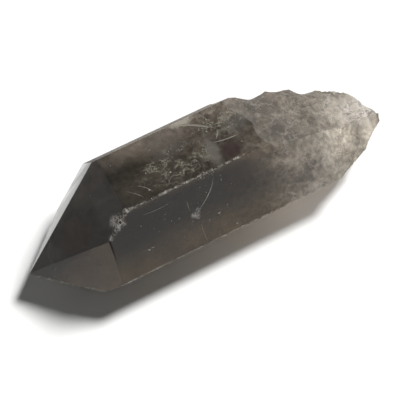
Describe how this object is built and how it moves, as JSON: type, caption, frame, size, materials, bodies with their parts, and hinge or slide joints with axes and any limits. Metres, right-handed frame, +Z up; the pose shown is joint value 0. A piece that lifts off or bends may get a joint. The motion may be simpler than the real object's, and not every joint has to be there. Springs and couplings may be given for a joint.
{
  "type": "quartz crystal",
  "caption": "Natural smoky quartz point: a long, slightly flattened six-sided prism with a sharp slanted tip and a rough, shell-fractured root, lying on a prism face.",
  "frame": {"origin": "middle of the bounding box in X and Y, at the height of the resting face", "axes": "+X along the crystal from the sharp tip to the broken root, +Z up from the face it rests on, +Y to the back"},
  "size_m": [0.075, 0.0248, 0.021],
  "materials": {
    "smoky_quartz": "glossy grown faces, satin on the broken root"
  },
  "bodies": {
    "root": {"crystal": "smoky_quartz"}
  },
  "joints": []
}
